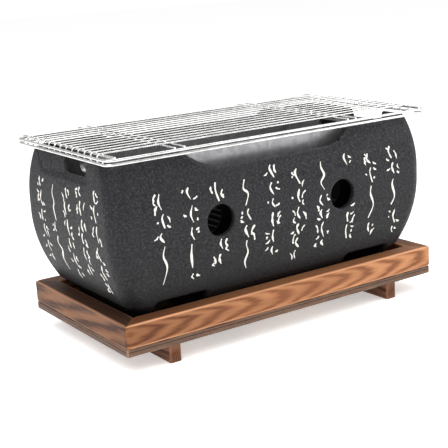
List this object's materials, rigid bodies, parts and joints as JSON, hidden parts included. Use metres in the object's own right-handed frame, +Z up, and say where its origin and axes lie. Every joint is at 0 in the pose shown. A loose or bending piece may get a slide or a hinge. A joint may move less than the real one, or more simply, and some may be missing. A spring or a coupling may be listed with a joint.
{
  "type": "hibachi grill",
  "caption": "Tabletop charcoal grill: barrel-shaped cast body with a lift-out liner and wire net, standing in a footed wooden tray.",
  "frame": {"origin": "on the surface the feet stand on, under the middle of the whole grill, which is 2 mm left of the middle of the tray", "axes": "+X along the length to the right end, -Y towards the front, +Z up"},
  "size_m": [0.304, 0.154, 0.1619],
  "materials": {
    "tray_wood": "burnt grain, oiled",
    "tray_plywood": "burnt plywood edge",
    "brad_steel": "bright",
    "body_coating": "matte speckled non-stick coating with cream brush marks",
    "liner_sheet": "galvanised sheet",
    "grate_steel": "plain steel wire",
    "net_steel": "bright plated wire"
  },
  "bodies": {
    "tray": {"tray_front_board": "tray_wood", "tray_back_board": "tray_wood", "tray_left_board": "tray_wood", "tray_right_board": "tray_wood", "tray_bottom_panel": "tray_plywood", "tray_foot_left": "tray_wood", "tray_foot_right": "tray_wood", "rail_brads": "brad_steel", "foot_brads": "brad_steel"},
    "grill_body": {"fire_body": "body_coating"},
    "liner": {"liner_wrapper": "liner_sheet", "liner_left_end": "liner_sheet", "liner_right_end": "liner_sheet"},
    "charcoal_grate": {"charcoal_grate_frame": "grate_steel", "charcoal_grate_bars": "grate_steel", "charcoal_grate_legs": "grate_steel"},
    "net": {"net_lower_frame": "net_steel", "net_upper_frame": "net_steel", "net_cross_rods": "net_steel", "net_end_rods": "net_steel", "net_long_wires": "net_steel"}
  },
  "joints": [
    {"name": "body_lift", "type": "slide", "parent": "tray", "child": "grill_body", "axis": [0, 0, 1], "range_m": [0, 0.06]},
    {"name": "net_lift", "type": "slide", "parent": "grill_body", "child": "net", "axis": [0, 0, 1], "range_m": [0, 0.25]},
    {"name": "liner_lift", "type": "slide", "parent": "grill_body", "child": "liner", "axis": [0, 0, 1], "range_m": [0, 0.11]},
    {"name": "grate_lift", "type": "slide", "parent": "liner", "child": "charcoal_grate", "axis": [0, 0, 1], "range_m": [0, 0.105]}
  ],
  "couplings": [
    {"joint": "liner_lift", "follows": "net_lift", "ratio": 0.44},
    {"joint": "grate_lift", "follows": "net_lift", "ratio": 0.42}
  ]
}
